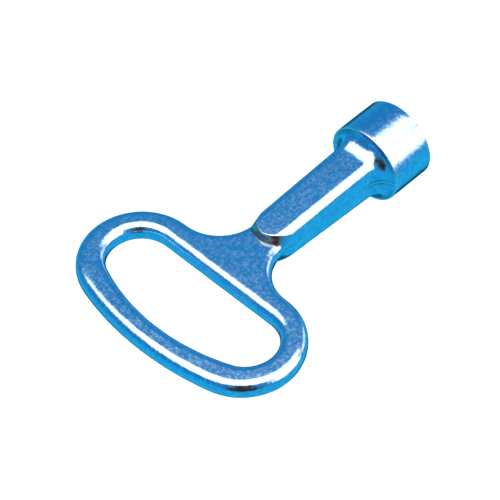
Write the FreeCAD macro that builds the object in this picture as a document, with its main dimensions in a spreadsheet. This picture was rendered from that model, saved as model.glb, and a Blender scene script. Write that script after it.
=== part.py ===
import FreeCAD, Part
import math
import os

import Sketcher

# Radiator bleed key: a die-cast zinc key (finger loop, web, shank and round head in one casting)
# with a hexagonal steel insert in the head that carries the square socket.
#
# Frame, in millimetres: the origin is the centre of the mouth of the head, +X runs along the
# turning axis out of the mouth, Y runs along the finger loop and Z is normal to the loop's plane.
# The key is the same on both sides of Y = 0 and of Z = 0.

SIZES = {
    # lengths along the turning axis, measured back from the mouth
    "overall_length": (67.8, "from the mouth to the far side of the loop"),
    "finger_hole_start": (48.2, "to the straight side of the finger hole"),
    "step_start": (37.3, "to the rounded end of the raised shank"),
    "neck_length": (3.6, "flare from the shank to the back of the head"),
    "neck_overlap": (0.15, "how far the flare runs on inside the head"),
    "head_length": (9.5, "cylinder of the head"),
    # finger loop and web, seen along Z
    "loop_length": (48.2, "overall, along Y"),
    "loop_end_radius": (11.5, "outer ends of the loop"),
    "loop_far_radius": (59.5, "outer bulge of the far side"),
    "hole_length": (38.2, "finger hole along Y"),
    "hole_end_radius": (6.1, "ends of the finger hole"),
    "hole_far_radius": (41.0, "inner bulge of the far side"),
    "web_radius": (8.3, "concave arcs from the loop to the shank"),
    "loop_thickness": (4.1, "loop and web along Z"),
    "loop_edge_radius": (1.7, "rounding of the loop and web edges"),
    # shank
    "shank_width": (8.5, "along Y, where the neck begins"),
    "shank_height": (9.2, "along Z, where the neck begins"),
    "side_taper": (0.7, "degrees, each side, narrower towards the loop"),
    "face_taper": (2.4, "degrees, each face, thinner towards the loop"),
    "shank_edge_radius": (1.8, "rounding of the long edges"),
    "step_radius": (4.08, "rounded end of the raised shank, seen along Z"),
    "step_edge_radius": (0.45, "rounding on top of the step"),
    # head
    "head_diameter": (16.0, "outside of the head"),
    "flare_size": (15.5, "width and height of the neck where it meets the head"),
    "flare_corner_radius": (7.7, "corners of the neck where it meets the head"),
    "back_edge_radius": (0.2, "rounding round the back of the head"),
    "mouth_edge_radius": (0.3, "rounding round the mouth of the head"),
    # insert and socket
    "insert_flats": (10.0, "hexagon across flats"),
    "insert_length": (8.3, "along the turning axis"),
    "insert_recess": (0.2, "from the mouth face down to the insert"),
    "socket_width": (5.1, "square socket across flats, for a 5 mm bleed screw"),
    "socket_lead": (0.4, "chamfer round the socket's mouth"),
}

FLARE_ANGLES = (0.0, 22.5, 45.0, 67.5, 90.0)

document = FreeCAD.newDocument("radiator_bleed_key")


def make_sheet():
    """Put every driving size in the spreadsheet: name, value and what it measures."""
    sheet = document.addObject("Spreadsheet::Sheet", "sizes")
    for row, (name, (value, note)) in enumerate(SIZES.items(), start=1):
        sheet.set(f"A{row}", name)
        sheet.set(f"B{row}", str(value))
        sheet.set(f"C{row}", note)
        sheet.setAlias(f"B{row}", name)
    document.recompute()
    return sheet


sizes = make_sheet()
size = {name: value for name, (value, note) in SIZES.items()}

# Each edge's ends in a sketch constraint, and the sketch's own axes and origin.
START, END, CENTRE = 1, 2, 3
X_AXIS = -1
ORIGIN = (-1, 1)

# Expressions that several features share.
NECK_START = "(sizes.head_length + sizes.neck_length)"
SHANK_END = "(sizes.step_start + 2)"
ROOT = "(sizes.step_start - sizes.step_radius - 1)"


def number(expression):
    """The present value of an expression written with the sheet's names."""
    value = sizes.evalExpression(expression)
    return float(getattr(value, "Value", value))


def shank_width_at(distance):
    """Expression for the shank's width at a distance back from the mouth."""
    return f"sizes.shank_width - 2 * ({distance} - {NECK_START}) * tan(sizes.side_taper * 1deg)"


def shank_height_at(distance):
    """Expression for the shank's height at a distance back from the mouth."""
    return f"sizes.shank_height - 2 * ({distance} - {NECK_START}) * tan(sizes.face_taper * 1deg)"


def new_body(name):
    body = document.addObject("PartDesign::Body", name)
    body.Label = name
    return body


def new_sketch(body, name, role, offset=None):
    """A sketch on one of the body's origin planes, moved along its normal by an expression."""
    planes = {feature.Role: feature for feature in body.Origin.OriginFeatures}
    sketch = body.newObject("Sketcher::SketchObject", name)
    sketch.AttachmentSupport = (planes[role], [""])
    sketch.MapMode = "FlatFace"
    if offset:
        sketch.setExpression("AttachmentOffset.Base.z", offset)
    return sketch


def dimension(sketch, kind, references, expression):
    """A driving constraint whose value follows the sheet."""
    value = number(expression)
    if kind == "Angle":
        value = math.radians(value)
    index = sketch.addConstraint(Sketcher.Constraint(kind, *references, value))
    sketch.setExpression(f"Constraints[{index}]", expression)


def tangent_chain(sketch, pairs):
    """Join pairs of edge ends so that the two edges run on smoothly."""
    for (first, first_end), (second, second_end) in pairs:
        sketch.addConstraint(Sketcher.Constraint("Tangent", first, first_end, second, second_end))


def corners(sketch, pairs):
    """Join pairs of edge ends at a sharp corner."""
    for (first, first_end), (second, second_end) in pairs:
        sketch.addConstraint(Sketcher.Constraint("Coincident", first, first_end, second, second_end))


def arc(centre, radius, start, end):
    """An arc, anticlockwise, between two directions in degrees."""
    circle = Part.Circle(FreeCAD.Vector(*centre, 0), FreeCAD.Vector(0, 0, 1), radius)
    return Part.ArcOfCircle(circle, math.radians(start), math.radians(end))


def line(start, end):
    return Part.LineSegment(FreeCAD.Vector(*start, 0), FreeCAD.Vector(*end, 0))


def direction(start, end):
    """The direction from one point to another, in degrees."""
    return math.degrees(math.atan2(end[1] - start[1], end[0] - start[0]))


def edges_where(feature, test):
    """Names of the feature's edges whose every vertex passes the test."""
    names = []
    for index, edge in enumerate(feature.Shape.Edges, start=1):
        if all(test(vertex.Point) for vertex in edge.Vertexes):
            names.append(f"Edge{index}")
    if not names:
        raise ValueError(f"{feature.Label} has no such edge")
    return names


def add_fillet(body, base, name, test, radius):
    document.recompute()
    fillet = body.newObject("PartDesign::Fillet", name)
    fillet.Base = (base, edges_where(base, test))
    fillet.setExpression("Radius", radius)
    return fillet


def loop_outline(body):
    """Outside of the loop and web, closed by a straight line inside the shank."""
    sketch = new_sketch(body, "loop_outline", "XY_Plane")
    far, end, web = size["loop_far_radius"], size["loop_end_radius"], size["web_radius"]
    root, half = -number(ROOT), number(shank_width_at(ROOT)) / 2
    far_x = far - size["overall_length"]
    end_y = size["loop_length"] / 2 - end
    end_x = far_x - math.sqrt((far - end) ** 2 - end_y ** 2)
    web_y = half + web
    web_x = end_x + math.sqrt((end + web) ** 2 - (web_y - end_y) ** 2)
    apart = direction((far_x, 0), (end_x, end_y))
    meet = direction((end_x, end_y), (web_x, web_y))
    sketch.addGeometry([
        arc((far_x, 0), far, apart, 360 - apart),
        arc((end_x, end_y), end, meet, apart),
        arc((end_x, -end_y), end, -apart, -meet),
        arc((web_x, web_y), web, 180 + meet, 270),
        arc((web_x, -web_y), web, 90, 180 - meet),
        line((web_x, half), (root, half)),
        line((web_x, -half), (root, -half)),
        line((root, half), (root, -half)),
    ])
    far_arc, end_upper, end_lower, web_upper, web_lower, side_upper, side_lower, root_line = range(8)
    tangent_chain(sketch, [
        ((far_arc, START), (end_upper, END)),
        ((far_arc, END), (end_lower, START)),
        ((end_upper, START), (web_upper, START)),
        ((end_lower, END), (web_lower, END)),
        ((web_upper, END), (side_upper, START)),
        ((web_lower, START), (side_lower, START)),
    ])
    corners(sketch, [
        ((side_upper, END), (root_line, START)),
        ((side_lower, END), (root_line, END)),
    ])
    sketch.addConstraint(Sketcher.Constraint("Vertical", root_line))
    sketch.addConstraint(Sketcher.Constraint("PointOnObject", far_arc, CENTRE, X_AXIS))
    half_length = "sizes.loop_length / 2 - sizes.loop_end_radius"
    half_width = f"({shank_width_at(ROOT)}) / 2"
    far_centre = "sizes.loop_far_radius - sizes.overall_length"
    dimension(sketch, "DistanceX", (*ORIGIN, far_arc, CENTRE), far_centre)
    dimension(sketch, "Radius", (far_arc,), "sizes.loop_far_radius")
    dimension(sketch, "DistanceX", (root_line, START, *ORIGIN), ROOT)
    dimension(sketch, "DistanceY", (*ORIGIN, end_upper, CENTRE), half_length)
    dimension(sketch, "DistanceY", (end_lower, CENTRE, *ORIGIN), half_length)
    dimension(sketch, "DistanceY", (*ORIGIN, root_line, START), half_width)
    dimension(sketch, "DistanceY", (root_line, END, *ORIGIN), half_width)
    dimension(sketch, "Angle", (side_upper,), "sizes.side_taper * 1deg")
    dimension(sketch, "Angle", (side_lower,), "-sizes.side_taper * 1deg")
    for edge in (end_upper, end_lower):
        dimension(sketch, "Radius", (edge,), "sizes.loop_end_radius")
    for edge in (web_upper, web_lower):
        dimension(sketch, "Radius", (edge,), "sizes.web_radius")
    return sketch


def finger_hole_outline(body):
    """The D-shaped finger hole: straight next to the web, round ends, bulged far side."""
    sketch = new_sketch(body, "finger_hole_outline", "XY_Plane")
    far, end, near_x = size["hole_far_radius"], size["hole_end_radius"], -size["finger_hole_start"]
    end_x = near_x - end
    end_y = size["hole_length"] / 2 - end
    far_x = end_x + math.sqrt((far - end) ** 2 - end_y ** 2)
    apart = direction((far_x, 0), (end_x, end_y))
    sketch.addGeometry([
        line((near_x, -end_y), (near_x, end_y)),
        arc((end_x, end_y), end, 0, apart),
        arc((far_x, 0), far, apart, 360 - apart),
        arc((end_x, -end_y), end, -apart, 0),
    ])
    near_line, end_upper, far_arc, end_lower = range(4)
    tangent_chain(sketch, [
        ((near_line, END), (end_upper, START)),
        ((end_upper, END), (far_arc, START)),
        ((far_arc, END), (end_lower, START)),
        ((end_lower, END), (near_line, START)),
    ])
    half_length = "sizes.hole_length / 2 - sizes.hole_end_radius"
    sketch.addConstraint(Sketcher.Constraint("Vertical", near_line))
    dimension(sketch, "DistanceX", (near_line, START, *ORIGIN), "sizes.finger_hole_start")
    dimension(sketch, "DistanceY", (*ORIGIN, end_upper, CENTRE), half_length)
    dimension(sketch, "DistanceY", (end_lower, CENTRE, *ORIGIN), half_length)
    dimension(sketch, "Radius", (end_upper,), "sizes.hole_end_radius")
    dimension(sketch, "Radius", (end_lower,), "sizes.hole_end_radius")
    dimension(sketch, "Radius", (far_arc,), "sizes.hole_far_radius")
    return sketch


def rounded_rectangle(body, name, distance, width, height, radius):
    """A cross-section of the shank or neck, centred on the turning axis."""
    sketch = new_sketch(body, name, "YZ_Plane", f"-({distance})")
    corner = number(radius)
    y, z = number(width) / 2 - corner, number(height) / 2 - corner
    sketch.addGeometry([
        line((-y, -z - corner), (y, -z - corner)),
        arc((y, -z), corner, 270, 360),
        line((y + corner, -z), (y + corner, z)),
        arc((y, z), corner, 0, 90),
        line((y, z + corner), (-y, z + corner)),
        arc((-y, z), corner, 90, 180),
        line((-y - corner, z), (-y - corner, -z)),
        arc((-y, -z), corner, 180, 270),
    ])
    tangent_chain(sketch, [((edge, END), ((edge + 1) % 8, START)) for edge in range(8)])
    for kind, edges in (("Horizontal", (0, 4)), ("Vertical", (2, 6))):
        for edge in edges:
            sketch.addConstraint(Sketcher.Constraint(kind, edge))
    for edge in (3, 5, 7):
        sketch.addConstraint(Sketcher.Constraint("Equal", 1, edge))
    sketch.addConstraint(Sketcher.Constraint("Symmetric", 1, CENTRE, 5, CENTRE, *ORIGIN))
    dimension(sketch, "Radius", (1,), radius)
    dimension(sketch, "DistanceX", (6, START, 2, START), width)
    dimension(sketch, "DistanceY", (0, START, 4, START), height)
    return sketch


def step_outline(body):
    """What is cut off the loop end of the shank: everything outside a round nose."""
    sketch = new_sketch(body, "step_outline", "XY_Plane")
    radius, centre = size["step_radius"], size["step_radius"] - size["step_start"]
    outer, side = -number(SHANK_END) - 1, size["shank_width"] / 2 + 1
    sketch.addGeometry([
        arc((centre, 0), radius, 90, 270),
        line((centre, -radius), (centre, -side)),
        line((centre, -side), (outer, -side)),
        line((outer, -side), (outer, side)),
        line((outer, side), (centre, side)),
        line((centre, side), (centre, radius)),
    ])
    nose, lower_end, lower_side, outer_end, upper_side, upper_end = range(6)
    corners(sketch, [
        ((nose, END), (lower_end, START)),
        ((lower_end, END), (lower_side, START)),
        ((lower_side, END), (outer_end, START)),
        ((outer_end, END), (upper_side, START)),
        ((upper_side, END), (upper_end, START)),
        ((upper_end, END), (nose, START)),
    ])
    for edge in (lower_end, outer_end, upper_end):
        sketch.addConstraint(Sketcher.Constraint("Vertical", edge))
    for edge in (lower_side, upper_side):
        sketch.addConstraint(Sketcher.Constraint("Horizontal", edge))
    sketch.addConstraint(Sketcher.Constraint("PointOnObject", nose, CENTRE, X_AXIS))
    sketch.addConstraint(Sketcher.Constraint("Vertical", nose, START, nose, CENTRE))
    sketch.addConstraint(Sketcher.Constraint("Vertical", nose, END, nose, CENTRE))
    dimension(sketch, "Radius", (nose,), "sizes.step_radius")
    dimension(sketch, "DistanceX", (nose, CENTRE, *ORIGIN), "sizes.step_start - sizes.step_radius")
    dimension(sketch, "DistanceX", (outer_end, START, *ORIGIN), f"{SHANK_END} + 1")
    dimension(sketch, "DistanceY", (outer_end, START, *ORIGIN), "sizes.shank_width / 2 + 1")
    dimension(sketch, "DistanceY", (*ORIGIN, outer_end, END), "sizes.shank_width / 2 + 1")
    return sketch


def loft(body, name, sections, ruled):
    feature = body.newObject("PartDesign::AdditiveLoft", name)
    feature.Profile = sections[0]
    feature.Sections = sections[1:]
    feature.Ruled = ruled
    return feature


def make_loop():
    """The flat finger loop and web, with well-rounded edges all round."""
    body = new_body("loop_and_web")
    pad = body.newObject("PartDesign::Pad", "loop_blank")
    pad.Profile = loop_outline(body)
    pad.SideType = "Symmetric"
    pad.setExpression("Length", "sizes.loop_thickness")
    hole = body.newObject("PartDesign::Pocket", "finger_hole")
    hole.Profile = finger_hole_outline(body)
    hole.SideType = "Symmetric"
    hole.setExpression("Length", "sizes.loop_thickness + 2")
    root, flat = -number(ROOT), size["loop_thickness"] / 2
    on_outline = lambda point: abs(abs(point.z) - flat) < 1e-6
    document.recompute()
    if pad.Shape.Volume - hole.Shape.Volume < 1:
        raise ValueError("the finger hole was not cut")
    names = edges_where(hole, on_outline)
    buried = edges_where(hole, lambda point: abs(point.x - root) < 1e-6)
    rounding = body.newObject("PartDesign::Fillet", "loop_rounding")
    rounding.Base = (hole, [name for name in names if name not in buried])
    rounding.setExpression("Radius", "sizes.loop_edge_radius")
    return body


def make_shank():
    """The raised, tapered shank with its rounded end, and the neck that flares into the head."""
    body = new_body("shank_and_neck")
    ends = []
    for name, distance in (("shank_section_head", NECK_START), ("shank_section_loop", SHANK_END)):
        ends.append(rounded_rectangle(body, name, distance, shank_width_at(distance),
                                      shank_height_at(distance), "sizes.shank_edge_radius"))
    bar = loft(body, "shank_bar", ends, True)
    trim = body.newObject("PartDesign::Pocket", "shank_end_trim")
    trim.Profile = step_outline(body)
    trim.SideType = "Symmetric"
    trim.setExpression("Length", "sizes.shank_height + 2")
    centre = -size["step_start"] + size["step_radius"]
    add_fillet(body, trim, "step_edge", lambda point: point.x < centre + 1, "sizes.step_edge_radius")
    document.recompute()
    if bar.Shape.Volume - trim.Shape.Volume < 1:
        raise ValueError("the shank's end was not trimmed")
    sections = []
    for index, angle in enumerate(FLARE_ANGLES):
        along = f"{NECK_START} - (sizes.neck_length + sizes.neck_overlap) * sin({angle}deg)"
        out = f"(1 - cos({angle}deg))"
        width = f"sizes.shank_width * (1 - {out}) + sizes.flare_size * {out}"
        height = f"sizes.shank_height * (1 - {out}) + sizes.flare_size * {out}"
        radius = f"sizes.shank_edge_radius * (1 - {out}) + sizes.flare_corner_radius * {out}"
        sections.append(rounded_rectangle(body, f"neck_section_{index}", along, width, height, radius))
    loft(body, "neck", sections, False)
    return body


def make_head():
    """The round head, turned about the axis, with a rounded back edge and mouth edge."""
    body = new_body("head")
    sketch = new_sketch(body, "head_profile", "XY_Plane")
    length, radius = size["head_length"], size["head_diameter"] / 2
    sketch.addGeometry([
        line((0, 0), (0, radius)),
        line((0, radius), (-length, radius)),
        line((-length, radius), (-length, 0)),
        line((-length, 0), (0, 0)),
    ])
    mouth, outside, back, axis = range(4)
    corners(sketch, [((edge, END), ((edge + 1) % 4, START)) for edge in (mouth, outside, back, axis)])
    for kind, edges in (("Vertical", (mouth, back)), ("Horizontal", (outside, axis))):
        for edge in edges:
            sketch.addConstraint(Sketcher.Constraint(kind, edge))
    sketch.addConstraint(Sketcher.Constraint("Coincident", mouth, START, *ORIGIN))
    dimension(sketch, "DistanceX", (back, END, *ORIGIN), "sizes.head_length")
    dimension(sketch, "DistanceY", (*ORIGIN, mouth, END), "sizes.head_diameter / 2")
    turned = body.newObject("PartDesign::Revolution", "head_turned")
    turned.Profile = sketch
    turned.ReferenceAxis = (sketch, ["H_Axis"])
    turned.Angle = 360

    def rim(distance):
        return lambda point: abs(point.x + distance) < 1e-6 and math.hypot(point.y, point.z) > radius - 1e-6

    back_edge = add_fillet(body, turned, "back_edge", rim(length), "sizes.back_edge_radius")
    add_fillet(body, back_edge, "mouth_edge", rim(0), "sizes.mouth_edge_radius")
    return body


def hexagon_bar(name, length, start):
    """A hexagonal bar on the turning axis, two of its flats parallel to the loop's plane."""
    bar = document.addObject("Part::Prism", name)
    bar.Polygon = 6
    bar.setExpression("Circumradius", "sizes.insert_flats / 2 / cos(30deg)")
    bar.setExpression("Height", length)
    along_axis = FreeCAD.Rotation(FreeCAD.Vector(0, 1, 0), 90)
    flats_level = FreeCAD.Rotation(FreeCAD.Vector(0, 0, 1), 90)
    bar.Placement = FreeCAD.Placement(FreeCAD.Vector(0, 0, 0), along_axis.multiply(flats_level))
    bar.setExpression("Placement.Base.x", start)
    return bar


def make_casting(pieces):
    """The casting: its parts run together and hollowed for the insert."""
    blank = document.addObject("Part::MultiFuse", "casting_blank")
    blank.Shapes = pieces
    blank.Refine = True
    pocket = hexagon_bar("insert_pocket", "sizes.insert_length + sizes.insert_recess + 1",
                         "-sizes.insert_length - sizes.insert_recess")
    casting = document.addObject("Part::Cut", "key_casting")
    casting.Base = blank
    casting.Tool = pocket
    casting.Label = "key_casting"
    return casting


def make_insert():
    """The steel insert: a slice of hexagonal bar with a square hole through it."""
    bar = hexagon_bar("insert_bar", "sizes.insert_length", "-sizes.insert_length - sizes.insert_recess")
    hole = document.addObject("Part::Box", "square_hole")
    hole.setExpression("Length", "sizes.insert_length + 2")
    hole.setExpression("Width", "sizes.socket_width")
    hole.setExpression("Height", "sizes.socket_width")
    hole.setExpression("Placement.Base.x", "-sizes.insert_length - sizes.insert_recess - 1")
    hole.setExpression("Placement.Base.y", "-sizes.socket_width / 2")
    hole.setExpression("Placement.Base.z", "-sizes.socket_width / 2")
    bored = document.addObject("Part::Cut", "insert_bored")
    bored.Base = bar
    bored.Tool = hole
    document.recompute()
    mouth, half = -size["insert_recess"], size["socket_width"] / 2
    at_mouth = lambda point: abs(point.x - mouth) < 1e-6 and max(abs(point.y), abs(point.z)) < half + 1e-6
    lead = size["socket_lead"]
    insert = document.addObject("Part::Chamfer", "socket_insert")
    insert.Base = bored
    insert.Edges = [(int(name[4:]), lead, lead) for name in edges_where(bored, at_mouth)]
    insert.Label = "socket_insert"
    return insert


def check_document():
    """Stop at the first object that failed or whose shape is missing or invalid."""
    document.recompute()
    for item in document.Objects:
        if {"Invalid", "Error"} & set(item.State):
            raise ValueError(f"{item.Label} failed: {item.State}")
        shape = getattr(item, "Shape", None)
        if shape is not None and item.TypeId != "App::Origin" and (shape.isNull() or not shape.isValid()):
            raise ValueError(f"{item.Label} has no valid shape")


nodes = [make_casting([make_loop(), make_shank(), make_head()]), make_insert()]
check_document()
os.makedirs("parts", exist_ok=True)
for node in nodes:
    box = node.Shape.BoundBox
    if len(node.Shape.Solids) != 1:
        raise ValueError(f"{node.Label} is not one solid")
    print(f"{node.Label}: {box.XLength:.2f} x {box.YLength:.2f} x {box.ZLength:.2f} mm, "
          f"{node.Shape.Volume / 1000:.3f} cm3")
    node.Shape.exportStep(f"parts/{node.Label}.step")
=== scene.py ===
"""Radiator bleed key: its cast body, the steel insert in its head, finishes, light and camera."""

import math

import bpy
import numpy as np
from bpy.props import FloatProperty, FloatVectorProperty, PointerProperty
from bpy.types import Operator, Panel, PropertyGroup
from mathutils import Matrix, Vector


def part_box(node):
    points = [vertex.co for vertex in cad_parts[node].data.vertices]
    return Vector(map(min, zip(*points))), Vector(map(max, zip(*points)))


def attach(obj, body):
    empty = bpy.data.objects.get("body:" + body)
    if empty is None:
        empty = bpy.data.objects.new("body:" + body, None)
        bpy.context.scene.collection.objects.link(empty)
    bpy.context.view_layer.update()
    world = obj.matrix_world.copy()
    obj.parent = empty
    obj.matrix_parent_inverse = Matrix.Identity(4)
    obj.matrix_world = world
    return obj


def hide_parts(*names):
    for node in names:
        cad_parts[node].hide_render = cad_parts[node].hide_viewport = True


bl_info = {
    "name": "Radiator bleed key",
    "version": (1, 0, 0),
    "blender": (4, 5, 0),
    "location": "View3D > Sidebar > Bleed key",
    "description": "Builds a plated die-cast bleed key round its measured frame",
    "category": "Add Mesh",
}

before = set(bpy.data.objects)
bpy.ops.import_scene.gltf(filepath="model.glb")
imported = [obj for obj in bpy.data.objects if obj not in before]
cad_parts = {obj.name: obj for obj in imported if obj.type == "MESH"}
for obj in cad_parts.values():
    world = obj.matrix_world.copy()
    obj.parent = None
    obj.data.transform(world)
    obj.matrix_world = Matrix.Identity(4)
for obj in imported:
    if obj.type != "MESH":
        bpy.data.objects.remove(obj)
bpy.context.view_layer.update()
CASTING_LOW, CASTING_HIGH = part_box("key_casting")
INSERT_LOW, INSERT_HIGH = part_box("socket_insert")


# ---------------------------------------------------------------- sizes and colours

def length(name, description, default):
    """A length in metres, shown to a hundredth of a millimetre."""
    return FloatProperty(name=name, description=description, default=default, min=0.0,
                         unit="LENGTH", precision=5)


def taper(name, description, degrees):
    """A small angle, given in degrees and kept in radians."""
    return FloatProperty(name=name, description=description, default=math.radians(degrees),
                         subtype="ANGLE")


def colour(name, description, default):
    """A linear red, green and blue colour."""
    return FloatVectorProperty(name=name, description=description, default=default, size=3,
                               min=0.0, max=1.0, subtype="COLOR")


class BleedKeySizes(PropertyGroup):
    """Sizes of the key; X runs from the far side of the loop to the mouth, which is at zero"""

    overall_length: length("Overall length", "From the mouth to the far side of the loop",
                           -CASTING_LOW.x)
    loop_length: length("Loop length", "Across the finger loop", CASTING_HIGH.y - CASTING_LOW.y)
    loop_thickness: length("Loop thickness", "Loop and web, normal to their plane", 0.0041)
    loop_edge: length("Loop edge", "Rounding of the loop and web edges", 0.0017)
    loop_end_radius: length("Loop end radius", "Outer ends of the loop", 0.0115)
    loop_far_radius: length("Loop far radius", "Outer bulge of the far side", 0.0595)
    hole_start: length("Hole start", "From the mouth to the hole's straight side", 0.0482)
    hole_length: length("Hole length", "Finger hole, across the key", 0.0382)
    hole_end_radius: length("Hole end radius", "Ends of the finger hole", 0.0061)
    hole_far_radius: length("Hole far radius", "Inner bulge of the far side", 0.041)
    web_radius: length("Web radius", "Concave arcs between loop and shank", 0.0083)
    shank_width: length("Shank width", "Where the neck begins", 0.0085)
    shank_height: length("Shank height", "Where the neck begins", 0.0092)
    shank_edge: length("Shank edge", "Rounding of the long edges", 0.0018)
    side_taper: taper("Side taper", "Each side, narrower towards the loop", 0.7)
    face_taper: taper("Face taper", "Each face, thinner towards the loop", 2.4)
    step_start: length("Step start", "From the mouth to the round end of the raised shank", 0.0373)
    step_radius: length("Step radius", "Round end of the raised shank, from above", 0.00408)
    step_run: length("Step run", "Plan length over which the step climbs, in the middle", 0.0007)
    neck_length: length("Neck length", "Flare from the shank to the head", 0.0036)
    flare_size: length("Flare size", "Neck where it meets the head", 0.0155)
    flare_corner: length("Flare corner", "Corners of the neck where it meets the head", 0.0077)
    head_length: length("Head length", "Cylinder of the head", 0.0095)
    head_diameter: length("Head diameter", "Outside of the head", CASTING_HIGH.z - CASTING_LOW.z)
    back_edge: length("Back edge", "Rounding round the back of the head", 0.0002)
    mouth_edge: length("Mouth edge", "Rounding round the mouth of the head", 0.0003)
    pocket_flats: length("Pocket flats", "Hexagonal pocket for the insert",
                         INSERT_HIGH.z - INSERT_LOW.z)
    pocket_depth: length("Pocket depth", "From the mouth to the pocket's floor", -INSERT_LOW.x)
    socket_width: length("Socket width", "Square hole in the insert", 0.0051)
    socket_lead: length("Socket lead", "Chamfer round the square hole", 0.0004)
    parting_ridge: length("Parting ridge", "How proud the casting's parting line stands", 0.000015)
    unevenness: length("Unevenness", "Depth of the casting's slow waves", 0.00004)


class BleedKeyFinish(PropertyGroup):
    """Colours of the key's finishes and of the floor"""

    plating: colour("Plating", "Blue bright plating of the casting", (0.17, 0.50, 0.80))
    plating_light: colour("Light plating", "Pale flecks in the plating", (0.62, 0.80, 0.94))
    steel: colour("Insert steel", "Bare steel of the insert", (0.50, 0.50, 0.52))
    floor: colour("Floor", "Plain pale floor", (0.9, 0.9, 0.9))


# ---------------------------------------------------------------- plan of the casting

# Rounds after which the web centre's two coordinates, each worked out from the other, agree.
SETTLING_ROUNDS = 12

# Grid of the loop: cells along each stretch of the rim, over each edge and across the flat top,
# and the shares of the upright wall's height at which it has rows.
WINDOW_CELLS, WEB_CELLS, END_CELLS, FAR_CELLS = 48, 30, 52, 56
EDGE_CELLS, TOP_CELLS = 12, 14
WALL_ROWS = np.array([0.0, 0.2, 0.45, 0.7])

# Share of the hole's straight side whose columns end on the seam between loop and shank.
WINDOW_SHARE = 0.42

# Along the web arc a line runs between these two values. Where it is above 1 the grid goes in
# along the seam's plane, and where it is below 0 along the rim's own normal.
SEAM_TURN = (1.6, -0.4)


def eased(share):
    """An S-curve from 0 to 1: the share squared, times three less twice the share."""
    return share * share * (3 - 2 * share)


def neck_start(sizes):
    """Where along X the shank ends and the flare of the neck begins."""
    return -(sizes.head_length + sizes.neck_length)


def half_width(sizes, x):
    """Half the shank's width at x: a straight line that narrows towards the loop."""
    return sizes.shank_width / 2 + (x - neck_start(sizes)) * math.tan(sizes.side_taper)


def half_height(sizes, x):
    """Half the shank's height at x: a straight line that thins towards the loop."""
    return sizes.shank_height / 2 + (x - neck_start(sizes)) * math.tan(sizes.face_taper)


def loop_centres(sizes):
    """Centres of the far, end and web arcs on the +Y side, each arc tangent to the next.

    The end arc touches the far arc from inside, so their centres lie far radius minus end radius
    apart; the web arc touches the end arc from outside and the shank's side line.
    """
    far, end, web = sizes.loop_far_radius, sizes.loop_end_radius, sizes.web_radius
    far_x = far - sizes.overall_length
    end_y = sizes.loop_length / 2 - end
    end_x = far_x - math.sqrt((far - end) ** 2 - end_y ** 2)
    web_x = end_x + end + web
    for _ in range(SETTLING_ROUNDS):
        web_y = half_width(sizes, web_x) + web / math.cos(sizes.side_taper)
        web_x = end_x + math.sqrt((end + web) ** 2 - (web_y - end_y) ** 2)
    return np.array([far_x, 0.0]), np.array([end_x, end_y]), np.array([web_x, web_y])


def along_arc(centre, radius, start, stop, count):
    """Points centre + radius * (cos, sin) and their unit radial directions, between two angles."""
    angle = np.linspace(start, stop, count)
    radial = np.stack([np.cos(angle), np.sin(angle)], axis=1)
    return centre + radius * radial, radial


def way_to(start, end):
    """The angle in plan of the line from one point to another."""
    return math.atan2(end[1] - start[1], end[0] - start[0])


def edge_rows(edge, half_thickness):
    """Depth in from the rim and height above the parting plane, up a wall and a quarter circle."""
    wall = half_thickness - edge
    turn = np.linspace(0.0, math.pi / 2, EDGE_CELLS + 1 - len(WALL_ROWS))
    depth = np.concatenate([np.zeros(len(WALL_ROWS)), edge * (1 - np.cos(turn))])
    height = np.concatenate([WALL_ROWS * wall, wall + edge * np.sin(turn)])
    return depth, height


def outer_columns(sizes, seam_x):
    """Rim points of the +Y half, from the seam round the end to the far apex, and the way inwards.

    At the seam the way inwards lies in the plane x = seam_x; it turns to the rim's own normal
    along the web arc. Returns rim points, unit directions and the centre of the web arc.
    """
    far_c, end_c, web_c = loop_centres(sizes)
    seam_angle = -math.pi + math.acos((web_c[0] - seam_x) / sizes.web_radius)
    meet, apart = way_to(end_c, web_c), way_to(far_c, end_c)
    web, web_out = along_arc(web_c, sizes.web_radius, seam_angle, meet - math.pi, WEB_CELLS + 1)
    end, end_out = along_arc(end_c, sizes.loop_end_radius, meet, apart, END_CELLS + 1)
    far, far_out = along_arc(far_c, sizes.loop_far_radius, apart, math.pi, FAR_CELLS + 1)
    turn = eased(np.clip(np.linspace(*SEAM_TURN, WEB_CELLS + 1), 0.0, 1.0)[:, None])
    web_in = web_out * (1 - turn) + np.array([0.0, -1.0]) * turn
    web_in /= np.linalg.norm(web_in, axis=1, keepdims=True)
    rim = np.concatenate([web, end[1:], far[1:]])
    inward = np.concatenate([web_in, -end_out[1:], -far_out[1:]])
    return rim, inward, web_c


def inner_columns(sizes):
    """Finger-hole rim on the +Y side for every column, from y = 0, and the way into the metal.

    The rim is the hole's straight side, then its end arc, which touches the far arc from inside.
    """
    end_r, far_r = sizes.hole_end_radius, sizes.hole_far_radius
    near_x = -sizes.hole_start
    end_c = np.array([near_x - end_r, sizes.hole_length / 2 - end_r])
    far_c = np.array([end_c[0] + math.sqrt((far_r - end_r) ** 2 - end_c[1] ** 2), 0.0])
    apart = way_to(far_c, end_c)
    window = np.linspace(0.0, WINDOW_SHARE, WINDOW_CELLS + 1)
    beside = np.linspace(WINDOW_SHARE, 1.0, WEB_CELLS + 1)[1:]
    y = np.concatenate([window, beside]) * end_c[1]
    near = np.stack([np.full_like(y, near_x), y], axis=1)
    near_way = np.tile([1.0, 0.0], (len(y), 1))
    end, end_out = along_arc(end_c, end_r, 0.0, apart, END_CELLS + 1)
    far, far_out = along_arc(far_c, far_r, apart, math.pi, FAR_CELLS + 1)
    return (np.concatenate([near, end[1:], far[1:]]),
            np.concatenate([near_way, end_out[1:], far_out[1:]]))


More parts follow.
